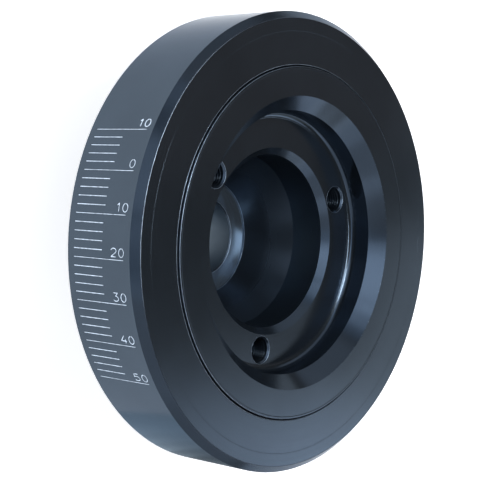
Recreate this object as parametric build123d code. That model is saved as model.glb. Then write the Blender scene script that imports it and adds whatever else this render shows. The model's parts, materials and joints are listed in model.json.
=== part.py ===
"""Harmonic balancer for a V8 crankshaft: a viscous torsional damper.

One turned steel housing holds the hub, the web and the rim. A free inertia ring turns in silicone
fluid in a sealed annular chamber in the rim, on a bearing sleeve, behind a welded-in cover plate.
The rim carries an engraved degree scale.

Frame: millimetres, +Z along the crankshaft axis towards the front. z = 0 is the hub end, the face
that seats against the timing gear. The keyway is at +Y.
"""

import os
from math import cos, radians, tan

from build123d import *

# ---------------------------------------------------------------- driving dimensions

# Rim
rim_diameter = 184.15
rim_width = 36.0
hub_length = 90.0  # from the hub end to the front of the rim
rim_front_chamfer = 2.8
rim_back_chamfer = 1.0

# Pulley recess in the front, with three tapped holes in its floor
recess_diameter = 106.3
recess_depth = 14.3  # below the front of the rim
recess_bevel = 5.6
recess_fillet = 2.8
collar_proud = 0.8  # the ring between recess and cover stands proud of the cover
bolt_count = 3
bolt_edge_distance = 8.75  # from the recess wall to a bolt's axis
bolt_first_angle = 60.0
tap_drill_diameter = 9.9
tapped_depth = 16.0
countersink_diameter = 11.4
drill_point_angle = 118.0

# Hub cavity behind the recess, for the crank bolt and its washer
cavity_land = 9.0  # from the cavity wall to a bolt's axis
cavity_chamfer = 2.75
cavity_straight_depth = 17.9  # from the recess floor to the start of the cone
bolt_seat_diameter = 48.8
spot_face_depth = 0.6

# Crank bore and the outside of the hub
crank_bore_diameter = 31.62
crank_bore_length = 38.6  # from the hub end to the seat of the crank bolt
crank_bore_front_chamfer = 0.5
crank_bore_lead_in = 1.5
keyway_width = 4.76
keyway_depth = 2.4
seal_journal_diameter = 50.8
seal_journal_length = 30.0
seal_journal_lead_in = 2.0
boss_foot_diameter = 66.0  # the cone behind the web, at the journal's shoulder
boss_wall = 7.6  # from a bolt's axis to the outside of the boss

# Annular chamber in the rim, its cover plate and the V-groove at the cover's inner seam
rim_wall = 9.5  # between the chamber and the outside of the rim
chamber_width = 10.7
chamber_back_wall = 5.5
cover_ledge = 1.6  # how far the cover plate rests on the chamber's walls
cover_thickness = 4.0
seam_chamfer = 1.0

# Web, and the pocket behind it between boss and chamber
web_thickness = 8.7
pocket_wall = 5.9  # between the pocket and the chamber

# Inertia ring and the bearing sleeve pressed into its bore
film_gap = 0.4  # silicone film between ring and chamber
bearing_clearance = 0.3
bearing_wall = 1.5

# Filling holes through the chamber's back wall
fill_plug_count = 2
fill_plug_diameter = 8.0
fill_plug_length = 4.5
fill_plug_inset = 0.5
fill_plug_socket = 4.0
fill_plug_socket_depth = 2.5

# Degree scale engraved on the rim
scale_first_angle = 70.0  # counter-clockwise from +X, seen from the front
scale_step = 2.0
scale_marks = 31
scale_long_every = 5
mark_width = 0.35
mark_depth = 0.25
mark_back_margin = 4.2  # from the back of the rim
short_mark_front_margin = 16.8  # from the front of the rim
long_mark_front_margin = 5.9

# ---------------------------------------------------------------- sizes that follow

front_z = hub_length
rim_back_z = front_z - rim_width
collar_z = front_z + collar_proud
floor_z = front_z - recess_depth
web_back_z = floor_z - web_thickness
ledge_z = front_z - cover_thickness
chamber_back_z = rim_back_z + chamber_back_wall

bolt_circle_diameter = recess_diameter - 2 * bolt_edge_distance
cavity_diameter = bolt_circle_diameter - 2 * cavity_land
boss_diameter = bolt_circle_diameter + 2 * boss_wall
chamber_outer_diameter = rim_diameter - 2 * rim_wall
chamber_inner_diameter = chamber_outer_diameter - 2 * chamber_width
cover_outer_diameter = chamber_outer_diameter + 2 * cover_ledge
cover_inner_diameter = chamber_inner_diameter - 2 * cover_ledge
pocket_outer_diameter = chamber_inner_diameter - 2 * pocket_wall

sleeve_bore = chamber_inner_diameter / 2 + bearing_clearance
ring_bore = sleeve_bore + bearing_wall
ring_outer = chamber_outer_diameter / 2 - film_gap
ring_back_z = chamber_back_z + film_gap
ring_front_z = ledge_z - film_gap
fill_circle_radius = (chamber_inner_diameter + chamber_outer_diameter) / 4
overlap = 1.0  # how far a cutter stands out of what it cuts


# ---------------------------------------------------------------- helpers


def turned(outline, rounded_corners=()):
    """Revolves a closed (radius, height) outline about Z, after rounding the named corners."""
    face = make_face(Polyline(*outline, close=True))
    for radius, height, fillet_radius in rounded_corners:
        corner = face.vertices().sort_by_distance(Vector(radius, height, 0))[0]
        face = fillet(corner, fillet_radius)
    return revolve(Plane.XZ * face, Axis.Z)


def around_axis(item, count, radius, first_angle=0.0):
    """Copies of an item, evenly spaced on a circle about Z."""
    return [Rot(0, 0, first_angle + i * 360 / count) * Pos(radius, 0, 0) * item for i in range(count)]


# ---------------------------------------------------------------- housing


def housing_blank():
    """The turned housing: hub, web, rim and the open chamber."""
    bore = crank_bore_diameter / 2
    journal = seal_journal_diameter / 2
    seat = bolt_seat_diameter / 2
    cavity = cavity_diameter / 2
    recess = recess_diameter / 2
    rim = rim_diameter / 2
    boss = boss_diameter / 2
    boss_foot = boss_foot_diameter / 2
    pocket = pocket_outer_diameter / 2
    lead_in_height = seal_journal_lead_in / tan(radians(30))

    outline = [
        (bore, crank_bore_lead_in),
        (bore, crank_bore_length - crank_bore_front_chamfer),
        (bore + crank_bore_front_chamfer, crank_bore_length),
        (seat, crank_bore_length),
        (seat, crank_bore_length + spot_face_depth),
        (cavity, floor_z - cavity_straight_depth),
        (cavity, floor_z - cavity_chamfer),
        (cavity + cavity_chamfer, floor_z),
        (recess, floor_z),
        (recess, collar_z - recess_bevel),
        (recess + recess_bevel, collar_z),
        (cover_inner_diameter / 2 - seam_chamfer, collar_z),
        (cover_inner_diameter / 2, collar_z - seam_chamfer),
        (cover_inner_diameter / 2, ledge_z),
        (chamber_inner_diameter / 2, ledge_z),
        (chamber_inner_diameter / 2, chamber_back_z),
        (chamber_outer_diameter / 2, chamber_back_z),
        (chamber_outer_diameter / 2, ledge_z),
        (cover_outer_diameter / 2, ledge_z),
        (cover_outer_diameter / 2, front_z),
        (rim - rim_front_chamfer, front_z),
        (rim, front_z - rim_front_chamfer),
        (rim, rim_back_z + rim_back_chamfer),
        (rim - rim_back_chamfer, rim_back_z),
        (pocket, rim_back_z),
        (pocket, web_back_z),
        (boss, web_back_z),
        (boss, rim_back_z),
        (boss_foot, seal_journal_length),
        (journal, seal_journal_length),
        (journal, lead_in_height),
        (journal - seal_journal_lead_in, 0),
        (bore + crank_bore_lead_in, 0),
    ]
    return turned(outline, [(recess, floor_z, recess_fillet)])


def tapped_hole():
    """Cutter for one tapped hole, at its axis: 90-degree countersink, drilling and drill point."""
    drill = tap_drill_diameter / 2
    mouth = countersink_diameter / 2
    point = drill / tan(radians(drill_point_angle / 2))
    return turned(
        [
            (0, floor_z + overlap),
            (mouth + overlap, floor_z + overlap),
            (drill, floor_z - (mouth - drill)),
            (drill, floor_z - tapped_depth),
            (0, floor_z - tapped_depth - point),
        ]
    )


def keyway():
    """Cutter for the keyway, the whole length of the crank bore, at +Y."""
    depth = crank_bore_diameter / 2 + keyway_depth
    length = crank_bore_length + 2 * overlap
    return Pos(0, depth / 2, length / 2 - overlap) * Box(keyway_width, depth, length)


def scale_mark(number):
    """Cutter for one engraved mark of the degree scale."""
    is_long = number % scale_long_every == 0
    mark_front_z = front_z - (long_mark_front_margin if is_long else short_mark_front_margin)
    mark_back_z = rim_back_z + mark_back_margin
    length = mark_front_z - mark_back_z
    height = (mark_front_z + mark_back_z) / 2
    radial = mark_depth + overlap
    mark = Box(radial, mark_width, length)
    angle = scale_first_angle + number * scale_step
    return Rot(0, 0, angle) * Pos(rim_diameter / 2 - mark_depth + radial / 2, 0, height) * mark


def fill_hole():
    """Cutter for one filling hole, at its axis."""
    length = chamber_back_wall + 2 * overlap
    return Pos(0, 0, rim_back_z - overlap + length / 2) * Cylinder(fill_plug_diameter / 2, length)


def housing():
    body = housing_blank()
    body -= around_axis(tapped_hole(), bolt_count, bolt_circle_diameter / 2, bolt_first_angle)
    body -= around_axis(fill_hole(), fill_plug_count, fill_circle_radius)
    body -= keyway()
    body -= [scale_mark(number) for number in range(scale_marks)]
    return body


# ---------------------------------------------------------------- what closes and fills the chamber


def cover_plate():
    """Annular plate on the two ledges, chamfered at its inner seam."""
    inner, outer = cover_inner_diameter / 2, cover_outer_diameter / 2
    return turned(
        [
            (inner, ledge_z),
            (outer, ledge_z),
            (outer, front_z),
            (inner + seam_chamfer, front_z),
            (inner, front_z - seam_chamfer),
        ]
    )


def inertia_ring():
    """The free ring, one silicone film away from the chamber on every side but its bore."""
    return turned(
        [
            (ring_bore, ring_back_z),
            (ring_outer, ring_back_z),
            (ring_outer, ring_front_z),
            (ring_bore, ring_front_z),
        ]
    )


def bearing_sleeve():
    """Bush in the ring's bore, which runs on the inner wall of the chamber."""
    return turned(
        [
            (sleeve_bore, ring_back_z),
            (ring_bore, ring_back_z),
            (ring_bore, ring_front_z),
            (sleeve_bore, ring_front_z),
        ]
    )


def fill_plug(number):
    """Socket-head plug of one filling hole, set just below the back of the rim."""
    back_z = rim_back_z + fill_plug_inset
    plug = Pos(0, 0, back_z + fill_plug_length / 2) * Cylinder(fill_plug_diameter / 2, fill_plug_length)
    socket_radius = fill_plug_socket / 2 / cos(radians(30))
    socket = extrude(RegularPolygon(socket_radius, 6), fill_plug_socket_depth + overlap)
    plug -= Pos(0, 0, back_z - overlap) * socket
    return around_axis(plug, fill_plug_count, fill_circle_radius)[number]


# ---------------------------------------------------------------- output

parts = {
    "housing": housing(),
    "cover_plate": cover_plate(),
    "inertia_ring": inertia_ring(),
    "bearing_sleeve": bearing_sleeve(),
}
for number in range(fill_plug_count):
    parts[f"fill_plug_{number + 1}"] = fill_plug(number)

os.makedirs("parts", exist_ok=True)
for node, solid in parts.items():
    export_step(solid, f"parts/{node}.step")
    print(f"{node}: {solid.volume / 1000:.1f} cm3")
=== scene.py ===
# %% [markdown]
# # A harmonic balancer in satin black steel
#
# A harmonic balancer is bolted to the nose of a crankshaft, where a free ring inside its rim turns in
# silicone and takes up the shaft's twisting. Its body is one turned steel part. The model of the part
# comes in first, as loose triangles that stay exactly where they are, and this lesson adds what the
# model can't carry: the finish, the bright metal in the degree scale, its numbers, the threads and the
# light.

# %% Load the part
import json
import math

import bpy
import numpy as np
from mathutils import Matrix, Vector


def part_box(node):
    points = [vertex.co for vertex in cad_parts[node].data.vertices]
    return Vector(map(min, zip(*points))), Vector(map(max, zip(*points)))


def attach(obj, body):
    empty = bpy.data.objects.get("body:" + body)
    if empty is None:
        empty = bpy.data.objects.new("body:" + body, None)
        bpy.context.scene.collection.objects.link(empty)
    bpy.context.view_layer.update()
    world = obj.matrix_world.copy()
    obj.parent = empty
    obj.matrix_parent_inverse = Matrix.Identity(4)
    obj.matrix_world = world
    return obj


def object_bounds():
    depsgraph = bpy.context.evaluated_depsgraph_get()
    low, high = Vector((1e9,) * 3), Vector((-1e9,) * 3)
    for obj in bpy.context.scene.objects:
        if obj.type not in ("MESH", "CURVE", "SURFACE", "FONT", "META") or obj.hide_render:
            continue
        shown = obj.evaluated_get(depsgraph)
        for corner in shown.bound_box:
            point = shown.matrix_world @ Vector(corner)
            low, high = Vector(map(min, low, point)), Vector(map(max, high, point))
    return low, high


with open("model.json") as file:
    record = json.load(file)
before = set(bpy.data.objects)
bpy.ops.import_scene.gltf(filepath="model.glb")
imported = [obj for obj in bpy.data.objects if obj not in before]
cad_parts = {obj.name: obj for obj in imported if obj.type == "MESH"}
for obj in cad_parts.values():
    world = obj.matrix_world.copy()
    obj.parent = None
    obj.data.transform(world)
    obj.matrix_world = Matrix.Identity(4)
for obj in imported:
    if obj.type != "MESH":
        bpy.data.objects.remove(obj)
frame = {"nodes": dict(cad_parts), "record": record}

cad_low, cad_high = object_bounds()
MM = 0.001
nodes = frame["nodes"]
print("nodes:", ", ".join(sorted(nodes)))
print("box in mm:", [round(v / MM, 2) for v in (*cad_low, *cad_high)])

# %% [markdown]
# ## Sizes to work from
#
# Every added piece sits on a turned surface, so a handful of radii and heights places them all. The model
# states most of them: its boxes give the outsides, and its mounts, the places where other parts fit, give
# the bores, the bolt circle and the seats. They are in millimetres, with Z up along the crankshaft's axis
# and zero at the end of the hub.

# %% Radii and heights
mounts = {mount["name"]: mount for mount in frame["record"]["mounts"]}


def outer_radius(name):
    """Radius of a turned node in millimetres: the furthest that its box reaches from the axis."""
    low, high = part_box(name)
    return round(max(abs(v) for v in (*low[:2], *high[:2])) / MM, 3)


def mount_height(name):
    """Height of a mount above the end of the hub, in millimetres."""
    return round(mounts[name]["pos_m"][2] / MM, 3)


rim_radius = outer_radius("housing")
cover_outer_radius = outer_radius("cover_plate")
front_height = round(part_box("cover_plate")[1][2] / MM, 3)
recess_floor_height = mount_height("pulley_seat")
bolt_seat_height = mount_height("crank_bolt_seat")
tap_drill_radius = mounts["pulley_bolts"]["dims"]["hole_r_mm"]
bolt_circle_radius = mounts["pulley_bolts"]["dims"]["pcd_mm"] / 2
bolt_angles = np.radians([60.0, 180.0, 300.0])
bolt_places = bolt_circle_radius * np.stack([np.cos(bolt_angles), np.sin(bolt_angles), 0 * bolt_angles], 1)
print("rim", rim_radius, "front", front_height, "recess floor", recess_floor_height, "mm")

# %% [markdown]
# ## Surfaces from two parameters
#
# A turned or engraved surface is a function of two numbers, u and v: one runs round or along the piece,
# the other across it. Numpy works the whole grid out at once, and the faces follow from the grid's own
# order, so nothing has to be drawn by hand.


# %% Helpers: grids to meshes
def grid_faces(rows, columns, wrap_rows=False, wrap_columns=False):
    """Quads of a rows by columns grid of points. Corner (i, j) joins (i+1, j), (i+1, j+1) and (i, j+1);
    a wrapped direction joins its last points to its first."""
    i = np.arange(rows if wrap_rows else rows - 1)[:, None]
    j = np.arange(columns if wrap_columns else columns - 1)[None, :]
    i2, j2 = (i + 1) % rows, (j + 1) % columns
    corners = [i * columns + j, i2 * columns + j, i2 * columns + j2, i * columns + j2]
    return np.stack([np.broadcast_to(c, (i.size, j.size)).ravel() for c in corners], axis=1).tolist()


def linked_object(name, points, faces, material):
    """Object with its own mesh from points in millimetres, at the origin, in the scene."""
    mesh = bpy.data.meshes.new(name)
    mesh.from_pydata((np.asarray(points).reshape(-1, 3) * MM).tolist(), [], faces)
    mesh.materials.append(material)
    item = bpy.data.objects.new(name, mesh)
    bpy.context.scene.collection.objects.link(item)
    return item


def make_piece(name, points, faces, material):
    """Smooth piece that rides on the part's fixed body."""
    piece = linked_object(name, points, faces, material)
    piece.data.polygons.foreach_set("use_smooth", np.ones(len(faces), dtype=bool))
    piece.data.update()
    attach(piece, "body")
    print(f"{name}: {len(faces)} faces")


print("a grid of 3 by 4 points has", len(grid_faces(3, 4)), "faces, and wrapped both ways",
      len(grid_faces(3, 4, True, True)))

# %% [markdown]
# ## The camera
#
# The part stands on the end of its hub with its face up. The camera looks down on it from behind the
# keyway side and is rolled by a quarter turn, so the axis runs across the picture. A camera's own axes
# are the columns of its rotation matrix: right, up and backward.

# %% Camera
camera_place = Vector((-24.764, 419.629, 424.249)) * MM
right = Vector((0.11105, -0.64976, 0.75198))
up = Vector((0.99285, 0.10580, -0.05521))
backward = right.cross(up)
camera_data = bpy.data.cameras.new("camera")
camera_data.sensor_width = 36.0
camera_data.lens = 100.583
camera_data.clip_start = 0.01
camera_data.clip_end = 50.0
camera = bpy.data.objects.new("camera", camera_data)
camera_turn = Matrix((right, up, backward)).transposed().to_4x4()
camera.matrix_world = Matrix.Translation(camera_place) @ camera_turn
bpy.context.scene.collection.objects.link(camera)
bpy.context.scene.camera = camera
print("camera looks along", [round(v, 3) for v in -backward])

# %% [markdown]
# ## The light table
#
# The part stands on a white light table, which keeps the ground pale right up to its foot and gives the
# rim a white floor to mirror. A round pale wall closes the view behind the table. Only the camera sees it,
# so it changes nothing on the part. Where the rim turns away it would mirror the white table like a window
# does, so five cards, from white to dark, lie there that only reflections can see.


# %% Helpers: the studio round the part
def glowing(name, color, glow, light):
    """Material with no pattern that also gives off light of its own, for what surrounds the part."""
    material = bpy.data.materials.new(name)
    material.use_nodes = True
    shader = material.node_tree.nodes["Principled BSDF"]
    shader.inputs["Base Color"].default_value = (*color, 1)
    shader.inputs["Roughness"].default_value = 0.9
    shader.inputs["Emission Color"].default_value = (*light, 1)
    shader.inputs["Emission Strength"].default_value = glow
    return material


def studio_piece(name, points, faces, material, seen_by=None):
    """Object of the studio, which isn't part of the model. With seen_by, only that kind of ray meets it."""
    item = linked_object(name, points, faces, material)
    if seen_by:
        for kind in ("camera", "diffuse", "glossy", "shadow", "transmission"):
            setattr(item, f"visible_{kind}", kind == seen_by)


def sheet(x_range, y_range, height):
    """Points of a level rectangle between two x and two y values."""
    (x0, x1), (y0, y1) = x_range, y_range
    return [(x0, y0, height), (x1, y0, height), (x1, y1, height), (x0, y1, height)]


# %% Table and wall
one_face = [(0, 1, 2, 3)]
table_range, table_height = (-6000.0, 6000.0), -0.1  # a hair below the end of the hub
table_white = glowing("light_table", color=(0.93, 0.94, 0.96), glow=0.78, light=(1.0, 1.0, 1.0))
studio_piece("floor", sheet(table_range, table_range, table_height), one_face, table_white)

black = (0.0, 0.0, 0.0)
wall_radius, wall_height, wall_sides = 5900.0, 6000.0, 64
wall_turn = np.linspace(0, 2 * np.pi, wall_sides, endpoint=False)[:, None]
wall_foot = wall_radius * np.stack([np.cos(wall_turn), np.sin(wall_turn), 0 * wall_turn], axis=-1)
wall_points = np.concatenate([wall_foot, wall_foot + [0, 0, wall_height]], axis=1)
studio_piece("backdrop", wall_points, grid_faces(wall_sides, 2, wrap_rows=True),
             glowing("pale_wall", black, 0.84, (0.99, 0.98, 0.96)), seen_by="camera")
print("table and wall, metres across:", 2 * table_range[1] * MM, 2 * wall_radius * MM)

# %% Cards for the reflections
card_x_range, card_height, card_light = (-190, -94), 1.0, (0.72, 0.88, 1.0)
cards = {  # name: (lowest y, highest y, glow)
    "white_card": (4, 36, 1.24),
    "mist_card": (-12, 4, 1.02),
    "pale_card": (-28, -12, 0.78),
    "grey_card": (-44, -28, 0.46),
    "dark_card": (-130, -44, 0.26),
}
for name, (y0, y1, glow) in cards.items():
    studio_piece(name, sheet(card_x_range, (y0, y1), card_height), one_face,
                 glowing(name, black, glow, card_light), seen_by="glossy")
print("cards:", ", ".join(cards))

# %% [markdown]
# ## Soft panels
#
# Black satin steel shows mostly what it mirrors, so each soft panel is placed for one surface: low ones
# opposite the camera for the flat face, a strip halfway up for the bevel, faint cloths all round so that
# no chamfer goes dead. A panel is given as the part sees it, by its direction and by how wide and high it
# looks, so its brightness on the steel doesn't depend on how far away it stands.

# %% Room
room_color, room_strength = (1.0, 0.84, 0.70), 0.07
world = bpy.data.worlds.new("room")
bpy.context.scene.world = world
world.use_nodes = True
background = world.node_tree.nodes["Background"]
background.inputs["Color"].default_value = (*room_color, 1)
background.inputs["Strength"].default_value = room_strength
bpy.context.scene.view_settings.view_transform = "Standard"
print("room light:", room_strength)

# %% Panels
panel_distance = 1.6
panel_target = Vector((0, 0, 0.07))


def panel(name, turn, rise, wide, high, brightness, color):
    """Flat soft light seen from the part at a turn and a rise in degrees, wide and high as angles, whose
    surface has the given brightness. A side is twice the distance times the tangent of half its angle,
    and the power is brightness times pi times area."""
    turn, rise = math.radians(turn), math.radians(rise)
    away = Vector((math.cos(turn) * math.cos(rise), math.sin(turn) * math.cos(rise), math.sin(rise)))
    light = bpy.data.lights.new(name, "AREA")
    light.shape = "RECTANGLE"
    light.size = 2 * panel_distance * math.tan(math.radians(wide / 2))
    light.size_y = 2 * panel_distance * math.tan(math.radians(high / 2))
    light.energy = brightness * math.pi * light.size * light.size_y
    light.color = color
    item = bpy.data.objects.new(name, light)
    item.location = panel_target + away * panel_distance
    item.rotation_euler = (-away).to_track_quat("-Z", "Y").to_euler()
    item.visible_camera = False
    bpy.context.scene.collection.objects.link(item)


deep, cool, soft, warm = (0.52, 0.72, 1.0), (0.79, 0.865, 1.0), (0.97, 0.985, 1.0), (1.0, 0.72, 0.64)
panels = {  # name: (turn, rise, wide, high, brightness, colour)
    "seat_glint": (293, 79, 16, 12, 9.0, soft),
    "fillet_glint": (32, 70, 16, 12, 16.0, soft),
    "face_sheen_high": (252, 40, 13, 12, 1.04, cool),
    "face_sheen_low": (255, 32, 13, 12, 0.87, cool),
    "face_sheen_middle": (260, 39, 8, 9, 0.55, soft),
    "face_sheen_right": (265, 31, 16, 9, 0.64, soft),
    "face_gradient": (248, 24, 80, 24, 0.38, soft),
    "face_edge": (288, 42, 13, 24, 0.10, warm),
    "low_glint": (231, 7, 28, 15, 1.20, cool),
    "right_glint": (308, 6, 13, 12, 0.57, soft),
    "bevel_key": (65, 40, 28, 40, 0.62, cool),
    "bevel_strip": (68, 50, 80, 24, 0.42, deep),
    "bevel_line": (62, 58, 40, 14, 1.15, cool),
    "bevel_spot": (28, 47, 14, 12, 0.80, cool),
    "back_strip": (164, 40, 80, 24, 0.56, cool),
    "back_low": (168, 18, 100, 22, 0.57, cool),
    "back_spot": (200, 31, 18, 12, 0.40, cool),
    "front_strip": (124, 50, 50, 12, 0.50, cool),
    "right_cloth": (356, 24, 68, 32, 0.38, cool),
}
for name, values in panels.items():
    panel(name, *values)
print("panels:", len(panels))

# %% [markdown]
# ## A few words for nodes
#
# A finish is a graph of nodes, and most of its links say the same few things: work out a number, spread it
# over a range, blend two colours, press it into the surface. Each of these gets a short function here. Two
# numbers find every place on a turned part, the distance from the axis and the height, so one function
# gives both.


# %% Helpers: materials, nodes and sums
def new_material(name, metallic):
    """Node material with only its Principled shader and output; returns (material, tree, shader)."""
    material = bpy.data.materials.new(name)
    material.use_nodes = True
    shader = material.node_tree.nodes["Principled BSDF"]
    shader.inputs["Metallic"].default_value = metallic
    return material, material.node_tree, shader


def node(tree, kind, **settings):
    """Adds a node; settings are its attributes, or its input values where the name starts with in_."""
    made = tree.nodes.new(kind)
    for key, value in settings.items():
        if key.startswith("in_"):
            made.inputs[key[3:].replace("_", " ")].default_value = value
        else:
            setattr(made, key, value)
    return made


def math_node(tree, operation, *values):
    """Math on sockets or numbers, two at a time from left to right; returns the output socket."""
    made = node(tree, "ShaderNodeMath", operation=operation)
    for socket, value in zip(made.inputs, values[:2]):
        if isinstance(value, (int, float)):
            socket.default_value = value
        else:
            tree.links.new(value, socket)
    result = made.outputs[0]
    return math_node(tree, operation, result, *values[2:]) if len(values) > 2 else result


# %% Helpers: ranges and blends
def map_range(tree, value, **settings):
    """Socket that spreads a value from one range over another, from 0 to 1 where nothing else is said."""
    made = node(tree, "ShaderNodeMapRange", **settings)
    tree.links.new(value, made.inputs["Value"])
    return made.outputs["Result"]


def step_down(tree, value, low, high):
    """1 where a socket's value is below low, 0 above high, and a soft step in between."""
    return map_range(tree, value, interpolation_type="SMOOTHSTEP", in_From_Min=low, in_From_Max=high,
                     in_To_Min=1.0, in_To_Max=0.0)


def mix_color(tree, share, first, second):
    """Colour socket that goes from first to second with a share socket; both may be sockets or values."""
    made = node(tree, "ShaderNodeMix", data_type="RGBA")
    tree.links.new(share, made.inputs["Factor"])
    for slot_name, value in (("A", first), ("B", second)):
        socket = [s for s in made.inputs if s.name == slot_name and s.type == "RGBA"][0]
        if isinstance(value, tuple):
            socket.default_value = (*value, 1)
        else:
            tree.links.new(value, socket)
    return [s for s in made.outputs if s.type == "RGBA"][0]


def shade(share, color):
    """A share of a colour: below 1 it is darker."""
    return tuple(share * c for c in color)


# %% Helpers: places, noise and bumps
def object_place(tree):
    """Socket of the place on the piece, in metres."""
    return node(tree, "ShaderNodeTexCoord").outputs["Object"]


def round_axis(tree):
    """Sockets (x, y, height, radius) in metres; radius is the square root of x squared plus y squared."""
    split = node(tree, "ShaderNodeSeparateXYZ")
    tree.links.new(object_place(tree), split.inputs[0])
    x, y, height = split.outputs
    squares = math_node(tree, "ADD", math_node(tree, "MULTIPLY", x, x), math_node(tree, "MULTIPLY", y, y))
    return x, y, height, math_node(tree, "SQRT", squares)


def noise(tree, place, scale, detail, roughness):
    """Socket of a noise from 0 to 1 over a vector socket."""
    made = node(tree, "ShaderNodeTexNoise", in_Scale=scale, in_Detail=detail, in_Roughness=roughness)
    tree.links.new(place, made.inputs["Vector"])
    return made.outputs["Fac"]


def tool_rings(tree, across, along, detail, roughness):
    """Noise in rings about the axis: noise at (radius times across, height times across, turn in radians
    times along). A large across makes the rings fine, and a small along draws them out."""
    x, y, height, radius = round_axis(tree)
    join = node(tree, "ShaderNodeCombineXYZ")
    tree.links.new(math_node(tree, "MULTIPLY", radius, across), join.inputs[0])
    tree.links.new(math_node(tree, "MULTIPLY", height, across), join.inputs[1])
    turn = math_node(tree, "ARCTAN2", y, x)
    tree.links.new(math_node(tree, "MULTIPLY", turn, along), join.inputs[2])
    return noise(tree, join.outputs[0], 1.0, detail, roughness)


def press_in(tree, shader, pattern, strength, depth):
    """Bumps the surface by a pattern socket, depth in metres."""
    bump = node(tree, "ShaderNodeBump", in_Strength=strength, in_Distance=depth)
    tree.links.new(pattern, bump.inputs["Height"])
    tree.links.new(bump.outputs["Normal"], shader.inputs["Normal"])


# %% [markdown]
# ## Satin black steel
#
# The body is machined and then blackened, which leaves a dark bluish skin with a soft sheen. Its tone
# drifts in faint clouds, a few nicks show brighter, and the tool's rings decide how rough it is. Some
# zones differ: the crank bore, the seat of the bolt and the journal of the seal are ground after
# blackening, and the deep cavity stays duller. The bore's lighter tone is partly painted light, in place
# of light that would come up through its open end. The outside of the rim is a painted shade darker, in
# place of a dimmer table for it to mirror. The housing is one piece, so each zone is a mask made from
# the two numbers that place everything on a turned part.


# %% Zones of the housing
no_bottom = (-2.0, -1.0)  # below the end of the hub
zones = {  # name: (radius, top, bottom), each as the two distances in mm between which the zone ends
    "bore": ((16.00, 16.05), (38.1, 38.2), no_bottom),
    "journal": ((25.45, 25.50), (29.95, 30.00), no_bottom),
    "seat": ((24.6, 24.7), (39.25, 39.30), (38.49, 38.50)),
    "cavity": ((35.4, 35.6), (72.8, 73.0), (46.0, 50.0)),
}


def zone_mask(tree, radius, height, zone):
    """1 inside a zone and 0 outside: a step down at its radius, times a step down at its top, times one
    minus a step down at its bottom."""
    reach, top, bottom = [[limit * MM for limit in limits] for limits in zone]
    inside, below_top = step_down(tree, radius, *reach), step_down(tree, height, *top)
    above_bottom = math_node(tree, "SUBTRACT", 1.0, step_down(tree, height, *bottom))
    return math_node(tree, "MULTIPLY", inside, below_top, above_bottom)


print("zones:", ", ".join(zones))

# %% Tone of the blackened steel
# The ground steel's tone is real wear-free bare steel on the journal; on the bore it is also painted light.
nick_steel, ground_steel_and_light, seat_steel = (0.36, 0.40, 0.46), (0.150, 0.190, 0.230), (0.24, 0.30, 0.36)
# outside_painted_shades darken the outside of the rim: painted shade, in place of a dimmer table to mirror.
cloud_shades, outside_painted_shades = (0.90, 1.08), (0.72, 0.87)  # of the skin, darkest and lightest
outside_radius = 89.30
nick_scale, nick_rarity, nick_edge = 95.0, 0.93, (0.018, 0.034)


def satin_tone(tree, skin, clouds, radius, masks):
    """Colour socket of the blackened steel: clouds between two shades of the skin, nicks where a rare
    cell of a Voronoi pattern is near its centre, then the zones over them. The bore's lighter ground steel
    is partly painted light, and the darker outside of the rim is painted shade."""
    tone = mix_color(tree, clouds, *(shade(share, skin) for share in cloud_shades))
    cells = node(tree, "ShaderNodeTexVoronoi", in_Scale=nick_scale)
    tree.links.new(object_place(tree), cells.inputs["Vector"])
    rare = math_node(tree, "GREATER_THAN", cells.outputs["Color"], nick_rarity)
    nick = math_node(tree, "MULTIPLY", rare, step_down(tree, cells.outputs["Distance"], *nick_edge))
    tone = mix_color(tree, nick, tone, nick_steel)
    # Ground steel on bore, journal and seat; on the bore its lighter tone also stands in for light coming
    # up through the open bore, as painted light.
    ground = math_node(tree, "MAXIMUM", masks["bore"], masks["journal"], masks["seat"])
    tone = mix_color(tree, ground, tone, ground_steel_and_light)
    # Painted shade: from outside_radius out, the rim takes darker shades of the skin to tone down what it
    # mirrors.
    outside = math_node(tree, "GREATER_THAN", radius, outside_radius * MM)
    outside_painted_tone = mix_color(tree, clouds, *(shade(share, skin) for share in outside_painted_shades))
    tone = mix_color(tree, outside, tone, outside_painted_tone)
    return mix_color(tree, masks["seat"], tone, seat_steel)


print("the outside starts at", outside_radius, "mm")


# %% Satin black
black_skin = (0.0727, 0.0966, 0.1250)


def satin_black(name, skin):
    """Blackened turned steel. Its roughness is that of the tool's rings plus a little of the clouds, plus
    what bore, journal and cavity add, minus what the seat loses."""
    material, tree, shader = new_material(name, metallic=0.86)
    shader.inputs["Specular Tint"].default_value = (0.60, 0.64, 0.70, 1)
    _, _, height, radius = round_axis(tree)
    masks = {key: zone_mask(tree, radius, height, zone) for key, zone in zones.items()}
    cloud_noise = noise(tree, object_place(tree), scale=26.0, detail=6.0, roughness=0.6)
    clouds = map_range(tree, cloud_noise, in_From_Min=0.3, in_From_Max=0.7)
    tree.links.new(satin_tone(tree, skin, clouds, radius, masks), shader.inputs["Base Color"])

    rings = tool_rings(tree, across=2600.0, along=1.2, detail=3.0, roughness=0.6)
    ground = math_node(tree, "MAXIMUM", masks["bore"], masks["journal"])
    added = ((clouds, 0.03), (ground, 0.18), (masks["cavity"], 0.12), (masks["seat"], -0.07))
    rough = math_node(tree, "ADD", map_range(tree, rings, in_To_Min=0.12, in_To_Max=0.20),
                      *(math_node(tree, "MULTIPLY", mask, amount) for mask, amount in added))
    tree.links.new(rough, shader.inputs["Roughness"])
    press_in(tree, shader, rings, strength=0.05, depth=0.00002)
    return material


def dress(name, material):
    """Gives a node of the model its material, whatever slots it came with."""
    nodes[name].data.materials.clear()
    nodes[name].data.materials.append(material)


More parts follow.
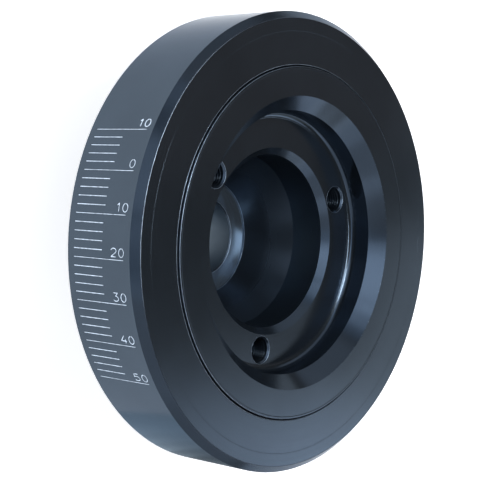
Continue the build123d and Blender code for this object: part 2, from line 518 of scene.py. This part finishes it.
black_steel = satin_black("black_steel", black_skin)
dress("housing", black_steel)
dress("cover_plate", black_steel)
print("satin black on the housing and the cover plate:", len(black_steel.node_tree.nodes), "nodes")

# %% [markdown]
# ## What the housing hides
#
# Inside the sealed rim a bare steel ring floats in silicone on a bronze sleeve, and two small plugs close
# the filling holes at the back. None shows from the front, but each has the finish it leaves the lathe
# with: fine rings on the ring and the sleeve, and a scuffed black skin on the plugs.


# %% Ring, sleeve and plugs
def turned_metal(name, dark, light, smoothest, roughest):
    """Turned metal: its tool rings drive its tone, its roughness and a slight bump."""
    material, tree, shader = new_material(name, metallic=1.0)
    rings = tool_rings(tree, across=1800.0, along=2.0, detail=4.0, roughness=0.65)
    tree.links.new(mix_color(tree, rings, dark, light), shader.inputs["Base Color"])
    rough = map_range(tree, rings, in_To_Min=smoothest, in_To_Max=roughest)
    tree.links.new(rough, shader.inputs["Roughness"])
    press_in(tree, shader, rings, strength=0.12, depth=0.00002)
    return material


dress("inertia_ring", turned_metal("bare_steel", (0.34, 0.34, 0.35), (0.52, 0.52, 0.53), 0.24, 0.42))
dress("bearing_sleeve", turned_metal("bronze", (0.50, 0.31, 0.13), (0.68, 0.45, 0.21), 0.28, 0.45))
plug_steel = turned_metal("plug_steel", (0.07, 0.075, 0.085), (0.15, 0.155, 0.165), 0.30, 0.48)
dress("fill_plug_1", plug_steel)
dress("fill_plug_2", plug_steel)
print("finishes:", sorted({n.data.materials[0].name for n in nodes.values()}))

# %% [markdown]
# ## Bright cut steel
#
# Where a cutter went through the black skin, and where wear has, bare steel shows. It is patchy, from
# bright to half oxidised, because the skin creeps back. A fine noise carries the patches. On an edge that
# catches the light on one side only, a second mask fades the steel out round the axis: that is a painted
# highlight.


# %% Cut steel
def near_turn(tree, turn, near, far):
    """0 within near degrees of a turn about the axis and 1 beyond far degrees. The cosine of the angle to
    that turn is (x cos turn + y sin turn) / radius, and a soft step is taken over it."""
    x, y, _, radius = round_axis(tree)
    along = math_node(tree, "ADD", math_node(tree, "MULTIPLY", x, math.cos(math.radians(turn))),
                      math_node(tree, "MULTIPLY", y, math.sin(math.radians(turn))))
    cosine = math_node(tree, "DIVIDE", along, radius)
    return step_down(tree, cosine, math.cos(math.radians(far)), math.cos(math.radians(near)))


dull_share = 0.55


def cut_metal(name, color, fade=None):
    """Bare steel in patches between a colour and a duller shade of it. With fade = (turn, near, far, faint
    colour) it keeps its colour near that turn about the axis and has the faint colour far from it: a
    painted highlight on the side where the light catches the edge."""
    material, tree, shader = new_material(name, metallic=1.0)
    patches = noise(tree, object_place(tree), scale=700.0, detail=3.0, roughness=0.6)
    share = map_range(tree, patches, in_From_Min=0.32, in_From_Max=0.6)
    tone = mix_color(tree, share, shade(dull_share, color), color)
    # The fade paints a highlight: the steel is bright near one turn and faint round the rest.
    if fade:
        *where, faint = fade
        tone = mix_color(tree, near_turn(tree, *where), tone, faint)
    tree.links.new(tone, shader.inputs["Base Color"])
    tree.links.new(map_range(tree, patches, in_To_Min=0.5, in_To_Max=0.3), shader.inputs["Roughness"])
    press_in(tree, shader, patches, strength=0.3, depth=0.00003)
    return material


cut_steel = cut_metal("cut_steel", (0.66, 0.77, 0.90))
print("made", cut_steel.name)

# %% [markdown]
# ## Lines cut on the rim
#
# An engraved line goes through the black skin, so its floor is bare steel and shines. It has rounded ends
# where the cutter plunged in. That is one small profile carried along a path: at each point of the path
# the profile is laid across it, and its width shrinks in a quarter circle at both ends. The underside is
# sunk into the steel, so the ribbon is a closed solid.


# %% Helper: a profile carried along a path
dome_across = np.array([-1.0, -0.55, 0.0, 0.55, 1.0, 0.9, -0.9])
dome_up = np.array([0.35, 0.85, 1.0, 0.85, 0.35])
narrowest = 0.12


def capped_faces(rows, columns):
    """Faces of a tube of points, closed by one face at each end."""
    last = (rows - 1) * columns
    ends = [list(range(columns)), list(range(last + columns - 1, last - 1, -1))]
    return grid_faces(rows, columns, wrap_columns=True) + ends


def ribbon(path, sideways, outward, width, height, end_round, sunk):
    """Closed ribbon along a path of n points (mm): point (i, j) is path[i] + sideways[i] * x[j] * width
    / 2 * taper[i] + outward[i] * y[j], where (x, y) is a flat dome with a foot sunk below the path and
    taper is the root of 1 - (1 - distance to the end / end_round) squared."""
    steps = np.linalg.norm(np.diff(path, axis=0), axis=1)
    travelled = np.concatenate([[0.0], np.cumsum(steps)])
    to_end = np.minimum(travelled, travelled[-1] - travelled)
    part = np.clip(to_end / end_round, 0.0, 1.0)
    taper = np.maximum(np.sqrt(1 - (1 - part) ** 2), narrowest)[:, None, None]
    x = (dome_across * width / 2)[None, :, None]
    y = np.concatenate([dome_up * height, [-sunk, -sunk]])[None, :, None]
    points = path[:, None] + sideways[:, None] * x * taper + outward[:, None] * y
    return points.reshape(-1, 3), capped_faces(len(path), len(dome_across))


def joined(parts):
    """One (points, faces) pair out of several, with each part's corner numbers shifted past the last."""
    points, faces, start = [], [], 0
    for part_points, part_faces in parts:
        points.append(part_points)
        faces += [[corner + start for corner in face] for face in part_faces]
        start += len(part_points)
    return np.concatenate(points), faces


def on_rim(turn, height, radius):
    """(points, outward, round_rim) for turns in degrees: a point is outward times the radius plus the
    height along Z, outward is (cos, sin, 0) and round_rim is (-sin, cos, 0) of its turn."""
    angle = np.radians(np.asarray(turn, float))
    outward = np.stack([np.cos(angle), np.sin(angle), 0 * angle], axis=-1)
    round_rim = np.stack([-np.sin(angle), np.cos(angle), 0 * angle], axis=-1)
    return outward * radius + np.array([0, 0, 1.0]) * np.asarray(height)[:, None], outward, round_rim


print("points across a ribbon:", len(dome_across))

# %% [markdown]
# ## Marks of the scale
#
# The degree scale is cut into the rim, one mark every two degrees and a long one every ten, and a timing
# light picks out the bare steel. The grooves are already in the model, so each gets its bright floor. The
# long marks were cut more finely than the short ones.

# %% Marks
scale_first_turn, scale_step, mark_count, long_every = 70.0, 2.0, 31, 5
mark_back_height = 58.2
mark_front_height = {"long": 84.1, "short": 73.2}
mark_line_width = {"long": 0.26, "short": 0.38}
mark_end_gap = 0.02
mark_below_rim = 0.035
mark_points = 25


def mark_ribbon(number, kind):
    """Straight ribbon up one groove: its turn is fixed and its height runs from the back end to the
    front end by half of one minus a cosine, which brings the points closer together near both ends."""
    share = 0.5 - 0.5 * np.cos(np.linspace(0, np.pi, mark_points))
    back, front = mark_back_height + mark_end_gap, mark_front_height[kind] - mark_end_gap
    turn = np.full(mark_points, scale_first_turn + scale_step * number)
    path, outward, round_rim = on_rim(turn, back + (front - back) * share, rim_radius - mark_below_rim)
    return ribbon(path, -round_rim, outward, mark_line_width[kind], height=0.03, end_round=0.3, sunk=0.15)


for kind in ("long", "short"):
    numbers = [k for k in range(mark_count) if (k % long_every == 0) == (kind == "long")]
    make_piece(f"scale_marks_{kind}", *joined([mark_ribbon(k, kind) for k in numbers]), cut_steel)

# %% [markdown]
# ## Numbers on the scale
#
# Each long mark carries its number, drawn with a single-stroke cutter: every digit is one or two smooth
# lines of even width. A digit is a path in a box one unit wide and 1.3 high, made of straight runs and
# parts of ellipses, and the path is then wrapped onto the rim. The digits stand on the long marks, so
# "up" in a digit runs round the rim and "along" runs towards the front. The first number was cut heavier
# than the rest.


# %% Digits as paths
def run(start, end, count=6):
    """Straight line of points from start to end."""
    return np.linspace(start, end, count)


def bow(centre, radii, first, last, count=22):
    """Part of an ellipse: centre plus (a cos t, b sin t), t in degrees from first to last."""
    t = np.radians(np.linspace(first, last, count))
    return np.stack([centre[0] + radii[0] * np.cos(t), centre[1] + radii[1] * np.sin(t)], axis=-1)


digit_strokes = {  # digit: its strokes, each a list of lines and bows that follow one another
    "0": [[bow((0.5, 0.65), (0.40, 0.65), 90, 448, 40)]],
    "1": [[run((0.22, 1.0), (0.52, 1.3)), run((0.52, 1.26), (0.52, 0.0), 12)]],
    "2": [[bow((0.5, 0.92), (0.42, 0.38), 170, -28), run((0.84, 0.68), (0.08, 0.02), 10),
           run((0.14, 0.0), (0.94, 0.0))]],
    "3": [[run((0.10, 1.3), (0.86, 1.3)), run((0.80, 1.26), (0.46, 0.80)),
           bow((0.47, 0.40), (0.43, 0.40), 85, -155)]],
    "4": [[run((0.62, 1.3), (0.06, 0.42), 10), run((0.12, 0.38), (0.98, 0.38))],
          [run((0.72, 0.72), (0.72, 0.0), 8)]],
    "5": [[run((0.88, 1.3), (0.20, 1.3)), run((0.17, 1.26), (0.14, 0.74)),
           bow((0.46, 0.42), (0.44, 0.42), 130, -150)]],
}
print("digits:", ", ".join(digit_strokes))

# %% Numbers wrapped onto the rim
box_height = 1.3
digit_width, digit_height, digit_gap = 3.1, 3.05, 0.75
narrow_width, narrow_start = 1.9, 0.2  # of the digit 1: its width, and where it starts in its box
baseline_gap = 1.1
digit_below_rim = 0.008
stroke_width, heavy_stroke_width = 0.32, 0.48
highest_y = cad_high[1] / MM - 0.0005


def stroke_ribbon(stroke, start, tick, width):
    """Ribbon of one stroke: its first coordinate is a height from start on, and its second, as a length
    on the rim divided by the rim's radius, is a turn back from tick. Sideways is outward cross forward."""
    along = start + stroke[:, 0] * digit_width
    lift = baseline_gap + stroke[:, 1] / box_height * digit_height
    path, outward, _ = on_rim(tick - np.degrees(lift / rim_radius), along, rim_radius - digit_below_rim)
    sideways = np.cross(outward, np.gradient(path, axis=0))
    sideways /= np.linalg.norm(sideways, axis=1)[:, None]
    return ribbon(path, sideways, outward, width, height=0.02, end_round=0.2, sunk=0.08)


def number_ribbons(number, first_height, tick, width):
    """Ribbons of one number: digits side by side from first_height towards the front, standing on the
    long mark whose turn is tick, drawn with a line of the given width."""
    ribbons, place = [], first_height
    for digit in number:
        narrow = digit == "1"
        start = place - narrow_start * digit_width if narrow else place
        for lines in digit_strokes[digit]:
            ribbons.append(stroke_ribbon(np.concatenate(lines), start, tick, width))
        place += (narrow_width if narrow else digit_width) + digit_gap
    return ribbons


scale_numbers = [  # (number, height of its first digit, its mark)
    ("10", 79.2, 0), ("0", 81.1, 5), ("10", 79.3, 10), ("20", 77.6, 15), ("30", 77.6, 20), ("40", 77.6, 25),
    ("50", 77.6, 30),
]
ribbons = []
for number, first_height, mark in scale_numbers:
    width = heavy_stroke_width if mark == 0 else stroke_width
    ribbons += number_ribbons(number, first_height, scale_first_turn + scale_step * mark, width)
points, faces = joined(ribbons)
points[:, 1] = np.minimum(points[:, 1], highest_y)  # keeps the strokes inside the model's box
make_piece("scale_numbers", points, faces, cut_steel)

# %% [markdown]
# ## Threads
#
# Three tapped holes take the pulley's bolts. A thread is a helix: as the angle goes once round, the
# ridge climbs by one pitch. Its section, a blunt V, is carried along that helix, and the foot of the
# ridge is sunk into the wall of the hole.

# %% Threads in the tapped holes
thread_pitch, thread_turns, steps_a_turn = 1.27, 10.5, 36
thread_crest_radius = 4.5
thread_sunk = 0.06
least_ridge = 0.02
thread_top = recess_floor_height - 1.3
ridge_heights = thread_pitch * np.array([[0.42, 0.07, -0.07, -0.42]])


def thread_ridge():
    """Helical ridge on a hole's wall: point (u, v) is at angle u, radius r(v) and height top - pitch * u
    / full turn + z(v). It fades into the wall over the first and last half turn."""
    u = np.linspace(0, 2 * np.pi * thread_turns, int(thread_turns * steps_a_turn) + 1)
    fade = np.clip(np.minimum(u, u[-1] - u) / np.pi, least_ridge, 1.0)[:, None]
    crest = tap_drill_radius - (tap_drill_radius - thread_crest_radius) * fade
    foot = np.full_like(crest, tap_drill_radius + thread_sunk)
    r = np.concatenate([foot, crest, crest, foot], axis=1)
    z = thread_top - thread_pitch * u[:, None] / (2 * np.pi) + ridge_heights
    points = np.stack([r * np.cos(u)[:, None], r * np.sin(u)[:, None], z], axis=-1)
    return points.reshape(-1, 3), capped_faces(len(u), r.shape[1])


# The thread ridges are darker than the skin, at 0.45 of its tone.
oily_black = satin_black("oily_black", shade(0.45, black_skin))
ridge_points, ridge_faces = thread_ridge()
for number, place in enumerate(bolt_places, 1):
    make_piece(f"thread_{number}", ridge_points + place, ridge_faces, oily_black)

# %% [markdown]
# ## The welded seam
#
# The cover plate closes the sealed chamber and is laser welded to the rim. The weld was faced off, which
# leaves a hair-thin raised line on the face. It is a ring with a flat dome for its section: a closed
# outline in radius and height, turned once round the axis.


# %% Seam on the face
def turned_ring(outline, turns=360):
    """Closed ring: point (i, j) is the outline's (radius, height) j, turned by i steps round the axis."""
    angle = np.linspace(0, 2 * np.pi, turns, endpoint=False)[:, None]
    outline = np.asarray(outline, float)
    r, z = outline[:, 0][None, :], outline[:, 1][None, :]
    points = np.stack([r * np.cos(angle), r * np.sin(angle), z + 0 * angle], axis=-1)
    return points, grid_faces(turns, len(outline), wrap_rows=True, wrap_columns=True)


seam_dome = [(0.13, -0.05), (0.09, 0.004), (0.0, 0.008), (-0.09, 0.004), (-0.13, -0.05)]
seam = [(cover_outer_radius + across, front_height + up) for across, up in seam_dome]
make_piece("cover_seam", *turned_ring(seam), black_steel)

# %% [markdown]
# ## The lips beside the groove
#
# The collar's edge and the cover's edge both overhang the groove at the cover's inner seam a little,
# which makes the groove a narrow dark line. A lip is a ring too. Its outline runs counter-clockwise, with
# the radius to the right and the height up, or else the faces of the ring would point inwards.

# %% Two lips
groove_inner_radius, groove_outer_radius = 70.24, 70.98
collar_lip = [
    (groove_inner_radius, 89.2), (groove_inner_radius, 89.84), (70.15, 90.68), (70.1, 90.77), (70.0, 90.8),
    (69.3, 90.8), (69.24, 90.78), (69.1, 90.0),
]
cover_lip = [
    (71.3, 89.4), (71.35, 89.9), (71.32, 90.002), (groove_outer_radius + 0.04, 90.0),
    (groove_outer_radius, 89.96), (groove_outer_radius, 89.4),
]
make_piece("collar_lip", *turned_ring(collar_lip), black_steel)
make_piece("cover_lip", *turned_ring(cover_lip), black_steel)
print("groove, mm wide:", round(groove_outer_radius - groove_inner_radius, 2))

# %% [markdown]
# ## The corner of the recess
#
# The tool's nose leaves a round corner between the recess's wall and its floor, and that corner gathers
# light from overhead into one bright line. A line that thin shows every facet, so the corner gets a skin
# of its own: an arc that touches the wall and the floor, turned once round the axis.

# %% Corner of the recess
corner_round = 2.95
recess_wall_radius = 53.13
skin_lift = 0.004  # above the floor, so that the two don't share one surface
skin_sunk = 0.03
corner_centre = (recess_wall_radius - corner_round, recess_floor_height + skin_lift + corner_round)
sweep = np.radians(np.linspace(90, 0, 21))
arc = corner_centre + corner_round * np.stack([np.sin(sweep), -np.cos(sweep)], axis=1)
behind = [(53.4, 75.5), (53.3, 78.75)]  # inside the steel
inner_end = [(50.13, recess_floor_height - skin_sunk)]
make_piece("recess_corner", *turned_ring(np.concatenate([behind, arc, inner_end]), turns=480), black_steel)

# %% [markdown]
# ## Edges that catch the light
#
# A machined edge is never perfectly sharp: a file or a tumbler breaks it to a tiny round, and there the
# black skin wears through first. Such an edge draws a hair-thin bright line between two dark faces. Each
# edge that shows gets a ring whose section is a short arc that stands a hair out of both faces, closed
# through a point inside the steel. Their bright steel is partly real wear and partly painted highlight:
# the outer edges are painted brightest beside the scale, the collar's across from it, and each fades
# round the part.


# %% Helper: the section of a broken edge
edge_overrun = 8  # degrees
centre_depth, back_depth = 0.97, 0.3  # of the arc's size


def edge_outline(radius, height, first_normal, second_normal, size):
    """Outline of a rounded edge: an arc of the given size, from the overrun before one face's normal to
    the overrun past the other's, about a centre a little less than its size inside the edge, and one point
    behind that centre."""
    arc = np.radians(np.linspace(first_normal - edge_overrun, second_normal + edge_overrun, 7))
    middle = math.radians((first_normal + second_normal) / 2)
    inwards = -np.array([math.cos(middle), math.sin(middle)]) * size
    centre = np.array([radius, height]) + centre_depth * inwards
    rounded = centre + size * np.stack([np.cos(arc), np.sin(arc)], axis=1)
    return np.concatenate([rounded, [centre + back_depth * inwards]])


print("points across a broken edge:", len(edge_outline(0, 0, 0, 90, 1)))

# %% Edges of the face, the groove, the recess and the seat
faint_steel, faintest_steel, dull_steel = (0.10, 0.13, 0.17), (0.07, 0.09, 0.12), (0.30, 0.38, 0.48)
worn_edge = cut_metal("worn_edge", dull_steel)
# The face, groove and collar edges are bright near one turn about the axis and faint far from it: painted
# highlight over the worn steel.
face_worn = cut_metal("face_worn", (0.40, 0.48, 0.58), (73, 18, 44, faintest_steel))
groove_worn = cut_metal("groove_worn", (0.56, 0.66, 0.78), (86, 45, 120, faint_steel))
collar_worn = cut_metal("collar_worn", dull_steel, (250, 30, 80, faint_steel))
edges = {  # name: (radius, height, normals of its two faces in degrees from outward to up, size, material)
    "face": (89.275, front_height, 45, 90, 0.25, face_worn),
    "cover": (groove_outer_radius, front_height, 90, 180, 0.22, groove_worn),
    "lip": (70.13, 90.72, 20, 90, 0.34, groove_worn),
    "collar": (58.75, 90.78, 90, 135, 0.16, collar_worn),
    "seat": (24.4, 39.2, 90, 150, 0.25, worn_edge),
    "bore": (16.31, bolt_seat_height, 90, 135, 0.30, worn_edge),
}
for name, (*section, material) in edges.items():
    make_piece(f"edge_{name}", *turned_ring(edge_outline(*section), turns=256), material)

# %% Edges of the tapped holes
countersink_radius = 5.7
hole_outline = edge_outline(countersink_radius, recess_floor_height, 90, 135, 0.22)
hole_points, hole_faces = turned_ring(hole_outline, turns=64)
for number, place in enumerate(bolt_places, 1):
    make_piece(f"edge_hole_{number}", hole_points + place, hole_faces, worn_edge)
